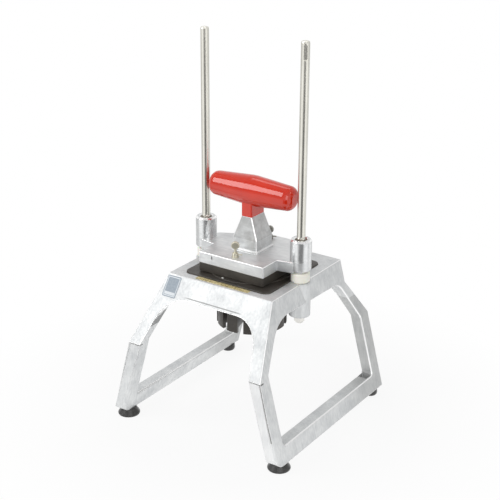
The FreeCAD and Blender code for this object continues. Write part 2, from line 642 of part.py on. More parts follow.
def thumb_screw(y, rise):
    """Spade-headed screw: stud, flange, collar with a cross pin, and a round paddle to turn it by.

    The middle of the paddle stands at a given rise above the plate.
    """
    tip, base = HEAD_Z[0] - INSERT_DEPTH + 1, HEAD_Z[1]
    flange_r, collar_r, neck_r = SCREW_COLLAR_R + 0.7, SCREW_COLLAR_R, SCREW_NECK_R
    top, neck_top = base + SCREW_COLLAR_H, base + rise - PADDLE_R + 1.5
    stem = turned([(0, tip), (SCREW_R, tip), (SCREW_R, base), (flange_r, base), (flange_r, base + 1.0),
                   (collar_r, base + 1.2), (collar_r, top - 0.6), (collar_r - 0.6, top), (neck_r, top),
                   (neck_r, neck_top), (0, neck_top)], (0.0, y))
    pin = Part.makeCylinder(CROSS_PIN_R, CROSS_PIN_REACH, V(0, y, base + CROSS_PIN_RISE), V(1, 0, 0))
    pin.rotate(V(0, y, 0), UP, PADDLE_TURN)
    paddle = Part.makeCylinder(PADDLE_R, PADDLE_T, V(0, y - PADDLE_T / 2, base + rise), V(0, 1, 0))
    paddle = round_edges(paddle, 1.0, lambda p: True)
    paddle.rotate(V(0, y, 0), UP, PADDLE_TURN)
    return stem.fuse([paddle, pin]).removeSplitter().Solids[0]


# --- blank labels -------------------------------------------------------------------------------------
def deck_strip():
    """Thin strip stuck along the front of the deck."""
    half_length, half_width, middle_y = 37.2, 3.4, -61.2
    return plate(half_length, half_width, 0.6, (DECK_Z, DECK_Z + LABEL_T), middle_y)


def apron_label():
    """Thin blank plate stuck on the left of the sloped apron."""
    low_x, high_x, corner = -72.0, -53.0, 1.5
    top_z, low_z = 181.6, 160.4
    slope = V(0, KNEE_FRONT[0] - DECK_FRONT, KNEE_FRONT[1] - DECK_Z)
    down = slope / slope.Length
    outwards = V(0, down.z, -down.y)
    start = V(0, front_slope_y(top_z), top_z)
    height = (top_z - low_z) / -down.z
    corners = [(low_x, 0.0, corner), (high_x, 0.0, corner), (high_x, height, corner), (low_x, height, corner)]
    return slab(corners, lambda across, along: start + V(across, 0, 0) + down * along, outwards * LABEL_T)


# --- build and write ----------------------------------------------------------------------------------
nodes["frame_casting"] = frame_casting()
foot_screws = []
for end_name, (foot_x, foot_y) in (("front", FOOT_FRONT), ("back", FOOT_BACK)):
    for side_name, side in (("left", -1), ("right", 1)):
        nodes[f"foot_{end_name}_{side_name}"] = foot(end_name, side * foot_x, foot_y)
        foot_screws.append(foot_screw(side * foot_x, foot_y))
nodes["foot_screws"] = Part.makeCompound(foot_screws)
for name, side in (("left", -1), ("right", 1)):
    nodes[f"guide_rod_{name}"] = guide_rod(side)
    nodes[f"rod_washer_{name}"] = rod_washer(side)
    nodes[f"cap_nut_{name}"] = cap_nut(side)
    nodes[f"bumper_{name}"] = bumper(side)
    nodes[f"bushing_upper_{name}"] = bushing(side, SLEEVE_Z[1] - BUSH_SUNK - BUSH_LENGTH)
    nodes[f"bushing_lower_{name}"] = bushing(side, SLEEVE_Z[0] + 0.5)
nodes["blade_holder"] = blade_holder()
nodes["blade_ring"] = blade_ring()
nodes["core_tube"] = core_tube()
nodes["ring_screws"] = Part.makeCompound([ring_screw(angle) for angle in RING_SCREW_ANGLES])
for number, steel in enumerate(blades(), start=1):
    nodes[f"wedge_blade_{number:02d}"] = steel
nodes["head_casting"] = head_casting()
nodes["grip"] = grip()
nodes["push_block_plate"] = block_plate()
nodes["push_block_fingers"] = Part.makeCompound(
    [spun(wedge_finger(), 360.0 / SECTIONS * number) for number in range(SECTIONS)])
nodes["push_block_plug"] = core_plug()
nodes["block_inserts"] = Part.makeCompound([insert(y) for y in (SCREW_FRONT_Y, SCREW_BACK_Y)])
nodes["thumb_screw_front"] = thumb_screw(SCREW_FRONT_Y, PADDLE_RISE_FRONT)
nodes["thumb_screw_back"] = thumb_screw(SCREW_BACK_Y, PADDLE_RISE_BACK)
nodes["deck_strip"] = deck_strip()
nodes["apron_label"] = apron_label()

for name, shape in nodes.items():
    shape.exportStep(f"parts/{name}.step")
    print(f"{name}: {len(shape.Solids)} solids, {shape.Volume / 1000:.2f} cm3, valid {shape.isValid()}")
print(f"{len(nodes)} nodes")
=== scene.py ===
# %% [markdown]
# # Dressing a table-top fruit wedger
#
# A wedger is a small press. A cast frame stands on four rubber feet and carries two ground steel rods.
# A head with a red grip slides down the rods and pushes an apple through a ring of twelve blades.
# The engineering model is already packed as the frame, with every piece in its place. This lesson
# gives the pieces their finishes, builds a white studio round them and sets the lamps.

import json
import math

import bmesh
import bpy
from mathutils import Matrix, Vector


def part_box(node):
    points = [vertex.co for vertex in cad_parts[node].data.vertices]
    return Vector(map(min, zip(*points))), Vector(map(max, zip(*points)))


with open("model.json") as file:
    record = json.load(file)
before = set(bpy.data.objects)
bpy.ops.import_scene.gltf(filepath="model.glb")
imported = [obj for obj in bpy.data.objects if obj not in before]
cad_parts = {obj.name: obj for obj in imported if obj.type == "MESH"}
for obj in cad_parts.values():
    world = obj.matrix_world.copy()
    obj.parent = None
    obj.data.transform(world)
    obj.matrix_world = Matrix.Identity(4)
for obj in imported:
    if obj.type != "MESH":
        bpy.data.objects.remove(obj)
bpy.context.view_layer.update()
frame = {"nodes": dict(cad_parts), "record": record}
nodes = frame["nodes"]

# %% [markdown]
# ## The camera
#
# A product picture is taken with a long lens from a little above, so that upright lines stay nearly
# parallel. The camera looks at a point in the middle of the press; its place follows from two angles
# and a distance, which is easier to adjust than three coordinates.

# %% Camera
AZIMUTH, ELEVATION, ROLL = math.radians(34.16), math.radians(21.89), math.radians(0.34)
DISTANCE, LENS = 1.3817, 83.9
TARGET = Vector((-0.0006, -0.0041, 0.2078))

back = Vector((math.sin(AZIMUTH) * math.cos(ELEVATION), -math.cos(AZIMUTH) * math.cos(ELEVATION),
               math.sin(ELEVATION)))
camera = bpy.data.objects.new("camera", bpy.data.cameras.new("camera"))
camera.data.lens = LENS
camera.data.sensor_width = 36.0
camera.location = TARGET + back * DISTANCE
camera.rotation_mode = "QUATERNION"
level = back.to_track_quat("Z", "Y").to_matrix()
camera.rotation_quaternion = (level @ Matrix.Rotation(ROLL, 3, "Z")).to_quaternion()
bpy.context.scene.collection.objects.link(camera)
bpy.context.scene.camera = camera
bpy.context.scene.view_settings.view_transform = "Standard"
print(f"camera at {[round(v, 3) for v in camera.location]}")

# %% [markdown]
# ## Node helpers
#
# Every finish below is a small network of shader nodes, and so are the room and the table. Writing
# the network as function calls keeps it readable: each method of `Network` adds a node or a few, wires
# them up and returns the output. A mask is a value that is 1 where something shows and 0 elsewhere, so
# two masks can be combined like yes and no, and a number below 1 makes a mask weaker.


# %% Node helpers
class Network:
    """Adds nodes to a tree. A value may be a number, a colour or the output of another node."""

    def __init__(self, tree):
        self.tree = tree

    def new(self, kind):
        return self.tree.nodes.new("ShaderNode" + kind)

    def put(self, value, socket):
        if isinstance(value, (int, float)):
            socket.default_value = value
        elif isinstance(value, tuple):
            socket.default_value = value if len(value) == len(socket.default_value) else (*value, 1.0)
        else:
            self.tree.links.new(value, socket)

    def ramp(self, value, stops):
        """Maps a value to colours or greys; stops are (position, colour or grey)."""
        node = self.new("ValToRGB")
        while len(node.color_ramp.elements) < len(stops):
            node.color_ramp.elements.new(0.5)
        for element, (position, color) in zip(node.color_ramp.elements, stops):
            element.position = position
            element.color = (*color, 1.0) if isinstance(color, tuple) else (color, color, color, 1.0)
        self.put(value, node.inputs["Fac"])
        return node.outputs["Color"]

    def mix(self, factor, first, second, blend="MIX"):
        node = self.new("Mix")
        node.data_type = "RGBA"
        node.blend_type = blend
        for number, value in ((0, factor), (6, first), (7, second)):
            self.put(value, node.inputs[number])
        return node.outputs[2]

    def math(self, operation, first, second=0.0, clamp=False):
        node = self.new("Math")
        node.operation = operation
        node.use_clamp = clamp
        self.put(first, node.inputs[0])
        self.put(second, node.inputs[1])
        return node.outputs["Value"]

    def both(self, first, *others):
        """Masks or weights multiplied: 1 only where each of them is 1."""
        for other in others:
            first = self.math("MULTIPLY", first, other)
        return first

    def either(self, first, *others):
        """The greatest of some masks: 1 where any of them is 1."""
        for other in others:
            first = self.math("MAXIMUM", first, other)
        return first

    def outside(self, mask):
        """1 where the mask is 0."""
        return self.math("SUBTRACT", 1.0, mask)

    def under(self, value, limit):
        """1 where the value is below the limit, 0 above it."""
        return self.math("LESS_THAN", value, limit)

    def over(self, value, limit):
        """1 where the value is above the limit, 0 below it."""
        return self.math("GREATER_THAN", value, limit)

    def away(self, value, centre):
        """Distance of a value from a centre."""
        return self.math("ABSOLUTE", self.math("SUBTRACT", value, centre))

    def within(self, value, low, high):
        """1 where the value lies between two limits, 0 outside."""
        return self.under(self.away(value, (low + high) / 2), (high - low) / 2)

    def dot(self, first, second):
        node = self.new("VectorMath")
        node.operation = "DOT_PRODUCT"
        self.put(first, node.inputs[0])
        self.put(second, node.inputs[1])
        return node.outputs["Value"]

    def mix_shaders(self, factor, first, second):
        node = self.new("MixShader")
        for number, value in enumerate((factor, first, second)):
            self.put(value, node.inputs[number])
        return node.outputs[0]


print("network helpers ready")

# %% [markdown]
# ## Networks for materials
#
# `Finish` is the network of a material, with a Principled shader at its end. All patterns read Object
# coordinates. Every piece sits at the origin, so a pattern has its real size in metres and runs on
# from one piece to the next.


# %% Finishes
class Finish(Network):
    """The network of a material that ends in a Principled shader."""

    def __init__(self, name, color, metallic, roughness):
        self.material = bpy.data.materials.new(name)
        self.material.use_nodes = True
        super().__init__(self.material.node_tree)
        self.shader = self.tree.nodes["Principled BSDF"]
        self.set("Base Color", color)
        self.set("Metallic", metallic)
        self.set("Roughness", roughness)
        coordinates = self.new("TexCoord")
        self.place = coordinates.outputs["Object"]
        self.facing = coordinates.outputs["Normal"]

    def set(self, socket, value):
        self.put(value, self.shader.inputs[socket])

    def stretched(self, scale):
        """Object coordinates, scaled along each axis, for grain that runs one way."""
        node = self.new("Mapping")
        node.inputs["Scale"].default_value = scale
        self.put(self.place, node.inputs["Vector"])
        return node.outputs["Vector"]

    def axes(self, vector=None):
        """X, Y and Z of a vector as three values; by default those of Object coordinates."""
        node = self.new("SeparateXYZ")
        self.put(vector or self.place, node.inputs["Vector"])
        return node.outputs["X"], node.outputs["Y"], node.outputs["Z"]

    def sideways(self):
        """How far the surface faces left or right: 0 not at all, 1 fully."""
        return self.math("ABSOLUTE", self.axes(self.facing)[0])

    def noise(self, scale, detail=3.0, rough=0.5, place=None):
        node = self.new("TexNoise")
        node.inputs["Scale"].default_value = scale
        node.inputs["Detail"].default_value = detail
        node.inputs["Roughness"].default_value = rough
        self.put(place or self.place, node.inputs["Vector"])
        return node.outputs["Fac"]

    def cells(self, scale):
        node = self.new("TexVoronoi")
        node.inputs["Scale"].default_value = scale
        self.put(self.place, node.inputs["Vector"])
        return node.outputs["Distance"]

    def bump(self, height, depth, normal=None):
        """Relief of the given depth in metres; a second relief may be laid over the first."""
        node = self.new("Bump")
        node.inputs["Distance"].default_value = depth
        self.put(height, node.inputs["Height"])
        if normal is not None:
            self.put(normal, node.inputs["Normal"])
        return node.outputs["Normal"]

    def soft_edges(self, radius):
        """Normal as if every sharp edge were rounded to this radius in metres."""
        node = self.new("Bevel")
        node.samples = 6
        node.inputs["Radius"].default_value = radius
        return node.outputs["Normal"]

    def edge_mask(self, radius, gain):
        """1 along edges, 0 on flats: where the rounded normal leaves the true one."""
        flat = self.new("NewGeometry").outputs["Normal"]
        gap = self.math("SUBTRACT", 1.0, self.dot(self.soft_edges(radius), flat))
        return self.math("MULTIPLY", gap, gain, clamp=True)


print("finish helpers ready")

# %% [markdown]
# ## Cast aluminium
#
# The frame and the head are aluminium castings, tumbled with abrasive stones after casting. That
# leaves a soft satin skin with faint clouds, a fine grain and a few pits, and it polishes the edges
# to a lower roughness. Their shine is also painted in: a bright colour along the edges is a painted
# highlight, with a thin band of painted shade just beside it. Clouds and grain are two noises of very
# different scale, and pits are small Voronoi cells, mixed a little towards grey. Sharp edges are found
# by comparing the surface normal with a rounded one. The long fillets
# round the windows and the pedestal are found in another way: there, the normal turns from facing
# sideways to facing along the press, so its X part passes through values that no flat face has.


# %% Cast aluminium
# The brightest colour is painted on rubbed edges, fillets and the right shin as a painted highlight.
DULL, PALE, PAINTED_HIGHLIGHT = (0.56, 0.575, 0.585), (0.76, 0.77, 0.77), (0.95, 0.95, 0.95)
# The first grey is painted shade beside edges, on the back legs and on the pedestal, and it also greys the
# pits and smears; the second is the painted shade of the dark lines on the frame.
SHADE_AND_GRIME, SHADE_LINE_GREY = (0.33, 0.33, 0.32), (0.13, 0.13, 0.125)
FLANK_FACING = 0.966                        # X part of the normal of the leaning side faces
# The edge mask also sets how far the painted highlight and the painted shade beside an edge reach.
EDGE_REACH, EDGE_ROUNDING = 0.0018, 0.0005  # how far the polish of an edge reaches, and its rounding
RUBBED, POLISHED = (0.3, 0.3, 0.3), (0.22, 0.22, 0.22)  # roughness of the edges and of the sleeves


def cast_aluminium(name, roughness, brushed, details):
    """Satin casting with streaks. What only one casting has is added by details(finish, tone, turned),
    which gives back the colour, the mask of what is rubbed and given a painted highlight, and the mask of
    what is polished."""
    finish = Finish(name, PALE, 0.85, roughness)
    clouds = finish.noise(38.0, 5.0, 0.6)
    streaks = finish.noise(1.0, 4.0, 0.55, finish.stretched(brushed))
    mottle = finish.mix(0.4, clouds, streaks)
    tone = finish.ramp(mottle, [(0.32, DULL), (0.62, PALE)])
    pits = finish.ramp(finish.cells(330.0), [(0.05, 0.0), (0.11, 1.0)])
    pitted = finish.mix(finish.ramp(pits, [(0.0, 0.35), (1.0, 0.0)]), tone, SHADE_AND_GRIME)
    near_edge = finish.edge_mask(EDGE_REACH, 1.0)
    # A thin grey band just beside each edge is painted shade.
    edge_shaded = finish.mix(finish.ramp(near_edge, [(0.0, 0.0), (0.05, 0.5), (0.16, 0.0)]), pitted, SHADE_AND_GRIME)
    turned = finish.ramp(finish.sideways(), [(0.1, 0.0), (0.3, 1.0), (0.8, 1.0), (FLANK_FACING - 0.03, 0.0)])
    dressed, rubbed_and_highlit, polished = details(finish, edge_shaded, turned)
    # Rubbed edges and fillets get the bright colour as a painted highlight, and a lower roughness as real
    # polish.
    highlight_and_polish = finish.either(finish.ramp(near_edge, [(0.1, 0.0), (0.24, 1.0)]), rubbed_and_highlit)
    finish.set("Base Color", finish.mix(highlight_and_polish, dressed, PAINTED_HIGHLIGHT))
    satin = finish.ramp(mottle, [(0.3, roughness + 0.06), (0.7, roughness - 0.04)])
    finish.set("Roughness", finish.mix(polished, finish.mix(highlight_and_polish, satin, RUBBED), POLISHED))
    grain = finish.bump(finish.noise(1300.0, 3.0, 0.6), 0.00005, finish.soft_edges(EDGE_ROUNDING))
    waves = finish.bump(finish.noise(95.0, 2.0), 0.00022, grain)
    finish.set("Normal", finish.bump(pits, 0.00004, waves))
    return finish.material


print("cast aluminium ready")

# %% [markdown]
# ## The frame casting
#
# Each casting has marks of its own. On the frame, shade is painted as dark lines where creases and
# edges lie in shadow: two lines along the arch of the apron, one at its rim and a short one in the
# middle just above, a line across each knee and a line down the right shin. The arch is a straight line
# with a quarter circle at each end, so one distance from the centre of that circle gives both of its
# lines. The stones leave the fillets of the bosses, the shins and the arch matt, without the painted
# highlight. The back legs are painted darker as shade, and the front of the right shin gets a painted
# highlight.


# %% Frame casting
ARCH_X, ARCH_TOP, ARCH_R = 0.0356, 0.1613, 0.0355   # centre of its round end, its top and radius
RIM_LINE, UPPER_LINE = (0.0, 0.0008), (0.0023, 0.0035)      # between these distances from the arch
APRON_Y = (-0.11, -0.07)
DECK_Z, FLANK_X, FLANK_LEAN = 0.1835, 0.0732, 0.268     # the flank at the deck, and its slope below
GROOVE_X, GROOVE_Z = (0.001, 0.0024), (0.04, 0.1076)    # its distance from the flank, and its height
KNEE_Z, KNEE_FRONT_Y = (0.1062, 0.1078), -0.115
SHIN_Y, SHIN_Z = -0.1, 0.108
BOSS_Y, BOSS_Z = (-0.014, 0.014), 0.13
MATT_ARCH_X, MATT_ARCH_Z = 0.05, (0.12, 0.17)
BACK_LEG_Z = 0.135
ARCH_SHADE, SHIN_SHADE, SHIN_HIGHLIGHT = 0.6, 0.85, 0.45     # how strongly each of these shows


def arch_lines(finish, side, y, z):
    """Mask of the two lines along the arch of the apron; side is the distance from the middle."""
    past = finish.math("MAXIMUM", finish.math("SUBTRACT", side, ARCH_X), 0.0)
    rise = finish.math("MAXIMUM", finish.math("SUBTRACT", z, ARCH_TOP - ARCH_R), 0.0)
    squares = finish.math("ADD", finish.math("MULTIPLY", past, past), finish.math("MULTIPLY", rise, rise))
    from_arch = finish.math("SUBTRACT", finish.math("SQRT", squares), ARCH_R)
    on_apron = finish.both(finish.within(y, *APRON_Y), finish.over(rise, 0.0))
    rim = finish.both(finish.within(from_arch, *RIM_LINE), on_apron)
    fading = finish.ramp(side, [(0.034, 1.0), (0.042, 0.0)])
    upper = finish.both(finish.within(from_arch, *UPPER_LINE), on_apron, fading)
    return finish.either(rim, upper)


def shin_lines(finish, x, y, z):
    """Mask of the painted shade lines: the groove beside the right flank and the line across the knees."""
    flank_x = finish.math("SUBTRACT", FLANK_X + FLANK_LEAN * DECK_Z, finish.math("MULTIPLY", z, FLANK_LEAN))
    from_flank = finish.math("SUBTRACT", flank_x, x)
    groove = finish.both(finish.within(from_flank, *GROOVE_X), finish.within(z, *GROOVE_Z))
    return finish.both(finish.either(groove, finish.within(z, *KNEE_Z)), finish.under(y, KNEE_FRONT_Y))


def frame_details(finish, tone, turned):
    """Painted shade in the lines and on the back legs, no painted highlight on bosses, shins and arch, and a
    painted highlight on the right shin.
    """
    x, y, z = finish.axes()
    side = finish.math("ABSOLUTE", x)
    # The arch, knee and shin lines are painted shade.
    along_arch = finish.both(arch_lines(finish, side, y, z), ARCH_SHADE)
    shade_lines = finish.either(along_arch, finish.both(shin_lines(finish, x, y, z), SHIN_SHADE))
    on_boss = finish.both(finish.within(y, *BOSS_Y), finish.over(z, BOSS_Z))
    on_shin = finish.both(finish.under(y, SHIN_Y), finish.under(z, SHIN_Z))
    in_arch = finish.both(finish.under(side, MATT_ARCH_X), finish.within(z, *MATT_ARCH_Z))
    rubbed_and_highlit = finish.both(turned, finish.outside(finish.either(on_boss, on_shin, in_arch)))
    # The back legs are painted darker as shade.
    back_leg_shade = finish.both(finish.ramp(y, [(0.03, 0.0), (0.08, 0.38)]), finish.under(z, BACK_LEG_Z))
    back_legs_shaded = finish.mix(back_leg_shade, tone, SHADE_AND_GRIME)
    faces_front = finish.under(finish.sideways(), 0.5)
    # The front of the right shin gets a painted highlight.
    shin_highlight = finish.both(on_shin, finish.over(x, 0.0), faces_front, SHIN_HIGHLIGHT)
    return finish.mix(shade_lines, finish.mix(shin_highlight, back_legs_shaded, PAINTED_HIGHLIGHT), SHADE_LINE_GREY), rubbed_and_highlit, 0.0


finishes = {"cast_aluminium": cast_aluminium("cast_aluminium", 0.62, (420.0, 420.0, 60.0), frame_details)}
print("frame casting ready")

# %% [markdown]
# ## The head casting
#
# The head is handled and wiped, so it is smoother than the frame, with streaks along the plate. The
# pedestal under the grip has random smears, and it is painted darker as shade, above all in its upper
# part. Its corners, those at the front and the rounded top edges of the rest get a painted highlight as
# well as a lower roughness. The two sleeves were turned on a lathe, which leaves them the smoothest of all.


# %% Head casting
PEDESTAL_X, PEDESTAL_Z = (-0.0195, 0.0195), (0.2108, 0.2526)
UPPER_PART_Z = 0.2255
SLEEVE_X = (0.0549, 0.0805)     # inner and outer side, as distances from the middle
PLATE_TOP_Z, FRONT_Y = 0.2105, -0.04
UPPER_SHADE, SMEARS = 0.3, 0.3
BELOW_PLATE = 0.5               # share of the polish that the sleeves have below the plate


def head_details(finish, tone, turned):
    """A pedestal with smears and painted shade, corners and top edges with a painted highlight and lower
    roughness, and sleeves that were turned smooth.
    """
    x, y, z = finish.axes()
    on_pedestal = finish.both(finish.within(x, *PEDESTAL_X), finish.within(z, *PEDESTAL_Z))
    smears = finish.ramp(finish.noise(110.0, 4.0, 0.65), [(0.4, 0.0), (0.6, 1.0)])
    # The upper part of the pedestal is painted darker as shade.
    upper = finish.both(finish.over(z, UPPER_PART_Z), UPPER_SHADE)
    shade = finish.math("ADD", upper, finish.both(smears, SMEARS))
    dressed = finish.mix(finish.both(on_pedestal, shade), tone, SHADE_AND_GRIME)
    upward = finish.ramp(finish.axes(finish.facing)[2], [(0.12, 0.0), (0.3, 1.0), (0.86, 1.0), (0.97, 0.0)])
    # Corners and top edges get the painted highlight.
    top_edges = finish.both(upward, finish.outside(on_pedestal))
    corners = finish.both(turned, finish.either(on_pedestal, finish.under(y, FRONT_Y)))
    above = finish.both(finish.over(z, PLATE_TOP_Z), 1.0 - BELOW_PLATE)
    smoothness = finish.math("ADD", BELOW_PLATE, above)
    polished = finish.both(finish.within(finish.math("ABSOLUTE", x), *SLEEVE_X), smoothness)
    return dressed, finish.either(corners, top_edges), polished


head_finish = cast_aluminium("cast_aluminium_head", 0.45, (60.0, 420.0, 420.0), head_details)
print("head casting ready")

# %% [markdown]
# ## Steel, brass and bronze
#
# The rods are centreless ground, so very fine rings run round them. A noise that is squeezed along Z
# gives those rings, and one that is drawn out along Z gives the blades their upright grain. The brass
# screw was turned and has rings too. The plated hardware is duller, with an even grain, and so are
# the bushings of sintered bronze.


# %% Bare metals
def ground_metal(name, color, roughness, grain_scale, spread):
    """Metal with a fine grain, squeezed along X, Y and Z by grain_scale; spread is that of roughness."""
    finish = Finish(name, color, 1.0, roughness)
    grain = finish.noise(1.0, 4.0, 0.65, finish.stretched(grain_scale))
    stains = finish.noise(22.0, 4.0, 0.6)
    darker = tuple(0.82 * part for part in color)
    finish.set("Base Color", finish.mix(finish.ramp(stains, [(0.35, 0.0), (0.7, 0.6)]), color, darker))
    smoothest = max(roughness - spread / 2, 0.05)
    finish.set("Roughness", finish.ramp(grain, [(0.25, roughness + spread), (0.75, smoothest)]))
    finish.set("Normal", finish.bump(grain, 0.00001, finish.soft_edges(0.0003)))
    return finish.material


METALS = {              # colour, roughness, grain scale along X, Y and Z, spread of the roughness
    "ground_steel": ((0.72, 0.705, 0.645), 0.24, (260.0, 260.0, 5200.0), 0.05),
    "blade_steel": ((0.68, 0.69, 0.7), 0.2, (3800.0, 3800.0, 240.0), 0.12),
    "zinc_hardware": ((0.7, 0.69, 0.66), 0.3, (700.0, 700.0, 700.0), 0.12),
    "dark_steel": ((0.3, 0.29, 0.26), 0.36, (900.0, 900.0, 900.0), 0.12),
    "brass": ((0.68, 0.65, 0.53), 0.32, (900.0, 900.0, 2600.0), 0.12),
    "bearing_bronze": ((0.3, 0.25, 0.2), 0.45, (1800.0, 1800.0, 1800.0), 0.12),
}
for name, settings in METALS.items():
    finishes[name] = ground_metal(name, *settings)
print(f"{len(METALS)} bare metals ready")

# %% [markdown]
# ## Red vinyl
#
# The grip is dipped in hot vinyl, which sets with a glossy skin like wet paint. The skin is never
# quite even: a slow wave shows in the reflections, and handling leaves a few dull patches. A clear
# coat gives the sharp highlight, and the coloured layer below it stays a little softer.


# %% Red vinyl
def red_vinyl(name):
    finish = Finish(name, (0.6, 0.022, 0.003), 0.0, 0.3)
    finish.set("Specular IOR Level", 0.0)
    finish.set("Coat Weight", 1.0)
    finish.set("Coat IOR", 1.6)
    finish.set("Coat Roughness", 0.06)
    depth = finish.noise(30.0, 3.0, 0.5)
    finish.set("Base Color", finish.ramp(depth, [(0.3, (0.55, 0.017, 0.002)), (0.7, (0.64, 0.025, 0.003))]))
    handled = finish.noise(75.0, 4.0, 0.6)
    finish.set("Roughness", finish.ramp(handled, [(0.35, 0.22), (0.75, 0.4)]))
    wave = finish.bump(finish.noise(60.0, 2.0, 0.4), 0.00022)
    finish.set("Normal", finish.bump(finish.noise(700.0, 2.0, 0.5), 0.000008, wave))
    return finish.material


finishes["red_vinyl"] = red_vinyl("red_vinyl")
print("red vinyl ready")

# %% [markdown]
# ## Moulded black, rubber and nylon
#
# The push block and the blade holder are a tough brownish-black moulding with a matt eroded skin,
# rubbed paler along the edges. The feet are softer rubber with a dull sheen and dust in the grain.
# The bumpers are turned from ivory nylon, which lets a little light in, so they get some scatter.


# %% Plastics and rubber
def moulded_black(name):
    finish = Finish(name, (0.045, 0.038, 0.031), 0.0, 0.42)
    patches = finish.noise(60.0, 4.0, 0.6)
    body = finish.ramp(patches, [(0.3, (0.026, 0.022, 0.017)), (0.7, (0.048, 0.041, 0.033))])
    edges = finish.edge_mask(0.0007, 1.6)
    finish.set("Base Color", finish.mix(edges, body, (0.2, 0.18, 0.15)))
    finish.set("Roughness", finish.ramp(patches, [(0.3, 0.5), (0.7, 0.36)]))
    skin = finish.bump(finish.noise(1500.0, 2.0, 0.6), 0.00004, finish.soft_edges(0.0005))
    finish.set("Normal", skin)
    return finish.material


def black_rubber(name):
    finish = Finish(name, (0.022, 0.022, 0.022), 0.0, 0.5)
    finish.set("Sheen Weight", 0.15)
    finish.set("Sheen Roughness", 0.5)
    dust = finish.noise(240.0, 5.0, 0.7)
    finish.set("Base Color", finish.ramp(dust, [(0.4, (0.016, 0.016, 0.016)), (0.8, (0.06, 0.058, 0.055))]))
    finish.set("Roughness", finish.ramp(dust, [(0.35, 0.27), (0.75, 0.45)]))
    finish.set("Normal", finish.bump(finish.noise(1700.0, 2.0, 0.5), 0.00003))
    return finish.material


def ivory_nylon(name):
    finish = Finish(name, (0.8, 0.77, 0.68), 0.0, 0.45)
    finish.set("Subsurface Weight", 0.25)
    finish.set("Subsurface Radius", (0.004, 0.003, 0.002))
    finish.set("Subsurface Scale", 0.6)
    turning = finish.noise(1.0, 3.0, 0.5, finish.stretched((60.0, 60.0, 2600.0)))
    finish.set("Base Color", finish.ramp(turning, [(0.3, (0.88, 0.86, 0.77)), (0.7, (0.93, 0.91, 0.84))]))
    finish.set("Normal", finish.bump(turning, 0.00003, finish.soft_edges(0.0004)))
    return finish.material


finishes["black_plastic"] = moulded_black("black_plastic")
finishes["black_rubber"] = black_rubber("black_rubber")
finishes["ivory_nylon"] = ivory_nylon("ivory_nylon")
print("plastics and rubber ready")

# %% [markdown]
# ## Blank labels
#
# Two stickers sit on the frame: a narrow gold strip in front of the blades and a small blue plate on
# the apron. Both are left blank. The strip is gold with worn, dark specks. The blue plate has a thin
# pale border and a pale band at its foot, drawn with a few comparisons of Object coordinates, so no
# picture is needed.


# %% Labels
BORDER = (0.0011, 0.0019)       # both sides of the pale line, from the edge of the label
BAND = (0.0024, 0.0052)         # both sides of the pale band, from the foot of the label
BAND_END = 0.0024               # where the band stops, from the side of the label


def gold_strip(name):
    finish = Finish(name, (0.6, 0.47, 0.16), 0.0, 0.35)
    rub = finish.noise(520.0, 4.0, 0.7)
    finish.set("Base Color", finish.ramp(rub, [(0.36, (0.13, 0.1, 0.03)), (0.47, (0.42, 0.34, 0.14)),
                                                (0.62, (0.8, 0.7, 0.4))]))
    finish.set("Normal", finish.bump(rub, 0.00002))
    return finish.material


def blue_plate(name, centre, half_width, half_height):
    """Blue label; centre is its middle in X and Z, and the halves are its size seen from the front."""
    finish = Finish(name, (0.32, 0.37, 0.43), 0.0, 0.32)
    x, _, z = finish.axes()
    rise = finish.math("SUBTRACT", z, centre[1])
    from_side = finish.math("SUBTRACT", half_width, finish.away(x, centre[0]))
    from_end = finish.math("SUBTRACT", half_height, finish.math("ABSOLUTE", rise))
    line = finish.within(finish.math("MINIMUM", from_side, from_end), *BORDER)
    band = finish.within(rise, BAND[0] - half_height, BAND[1] - half_height)
    pale = finish.either(line, finish.both(band, finish.over(from_side, BAND_END)))
    wear = finish.noise(400.0, 4.0, 0.6)
    blue = finish.ramp(wear, [(0.3, (0.2, 0.25, 0.3)), (0.75, (0.28, 0.33, 0.385))])
    finish.set("Base Color", finish.mix(pale, blue, (0.62, 0.66, 0.69)))
    finish.set("Roughness", finish.ramp(wear, [(0.3, 0.26), (0.7, 0.42)]))
    finish.set("Normal", finish.bump(wear, 0.00001))
    return finish.material


label_low, label_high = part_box("apron_label")
label_middle = (label_low + label_high) / 2
label_half = (label_high - label_low) / 2
finishes["yellow_film"] = gold_strip("yellow_film")
finishes["blue_film"] = blue_plate("blue_film", (label_middle.x, label_middle.z), label_half.x, label_half.z)
print(f"label {2000 * label_half.x:.1f} x {2000 * label_half.z:.1f} mm seen from the front")

# %% [markdown]
# ## Dress the carried-over pieces
#
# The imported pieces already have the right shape. The record names a material slot for each, and the
# finishes above are filed under the same names, so one loop dresses them all. The head casting shares
# its slot with the frame and gets its own, smoother finish.

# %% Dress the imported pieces
slot_of = {part["node"]: part["material_slot"] for part in frame["record"]["subparts"]}
for name, piece in nodes.items():
    piece.data.materials.clear()
    piece.data.materials.append(head_finish if name == "head_casting" else finishes[slot_of[name]])
print(f"{len(nodes)} pieces dressed in {len(finishes)} finishes")

# %% [markdown]
# ## The room
#
# The press stands in a white studio. The room shows as pure white to the camera and lights the press
# at a lower level. Polished metal is only as interesting as what it mirrors, so for reflections the
# room gets some shape. It is brightest above the horizon, darker overhead and near the floor. White
# cards stand low at the left, the right and behind on the right, and a dark gap between the first two
# draws the dark line down each rod and sleeve. A grey screen hangs behind the main lamp, and a
# doorway behind on the right tones down the sloping sides.


# %% Room
def toward(azimuth, elevation):
    """Unit vector from the press; azimuth 0 is the front and 90 the right, in degrees."""
    a, e = math.radians(azimuth), math.radians(elevation)
    return Vector((math.sin(a) * math.cos(e), -math.cos(a) * math.cos(e), math.sin(e)))


